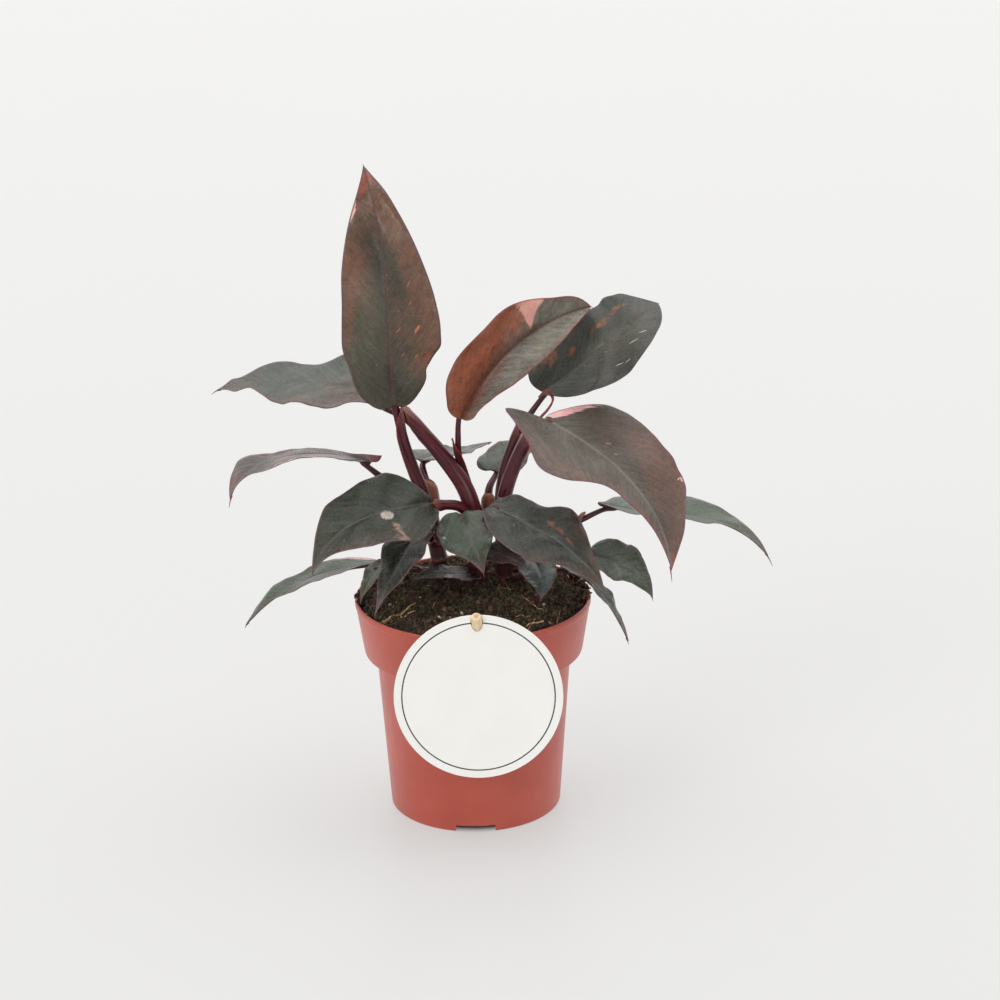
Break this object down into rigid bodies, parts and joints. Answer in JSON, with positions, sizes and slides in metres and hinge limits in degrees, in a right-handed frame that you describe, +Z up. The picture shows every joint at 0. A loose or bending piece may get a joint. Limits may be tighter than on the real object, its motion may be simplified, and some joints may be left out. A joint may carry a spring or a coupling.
{
  "type": "potted burgundy princess philodendron",
  "caption": "Young dark-leaved philodendron with burgundy sheathed stalks, in peat in a round plastic nursery pot with a blank round card on a stick.",
  "frame": {"origin": "middle of the pot's flat underside, on the surface that the pot stands on", "axes": "+Z up along the pot's axis; -Y towards the side that carries the card, which the picture shows; +X to the right seen from there"},
  "size_m": [0.279, 0.1292, 0.334],
  "materials": {
    "pot": "satin",
    "soil": "matte",
    "card": "matte",
    "stick": "matte",
    "stem": "satin",
    "blade": "satin",
    "red_blade": "satin",
    "stalk": "satin",
    "dry_sheath": "matte"
  },
  "bodies": {
    "root": {"pot": "pot", "soil": "soil", "card": "card", "card_stick": "stick", "stem_left": "stem", "stem_middle": "stem", "stem_right": "stem", "leaf_tall": "blade", "stalk_tall": "stalk", "leaf_left_high": "blade", "stalk_left_high": "stalk", "leaf_right_big": "blade", "stalk_right_big": "stalk", "leaf_left_mid": "blade", "stalk_left_mid": "stalk", "leaf_left_front": "blade", "stalk_left_front": "stalk", "leaf_low_left": "blade", "stalk_low_left": "stalk", "leaf_low_left_back": "blade", "stalk_low_left_back": "stalk", "leaf_left_low": "blade", "stalk_left_low": "stalk", "leaf_center": "blade", "stalk_center": "stalk", "leaf_right_front": "blade", "stalk_right_front": "stalk", "leaf_red": "red_blade", "stalk_red": "stalk", "leaf_dark_right": "blade", "stalk_dark_right": "stalk", "leaf_right_far": "blade", "stalk_right_far": "stalk", "leaf_right_low": "blade", "stalk_right_low": "stalk", "leaf_rim_right": "blade", "stalk_rim_right": "stalk", "leaf_soil_right": "blade", "stalk_soil_right": "stalk", "leaf_back_left": "blade", "stalk_back_left": "stalk", "leaf_back_right": "blade", "stalk_back_right": "stalk", "leaf_soil_left": "blade", "stalk_soil_left": "stalk", "leaf_soil_middle": "blade", "stalk_soil_middle": "stalk", "sheath_curl": "dry_sheath"}
  },
  "joints": []
}
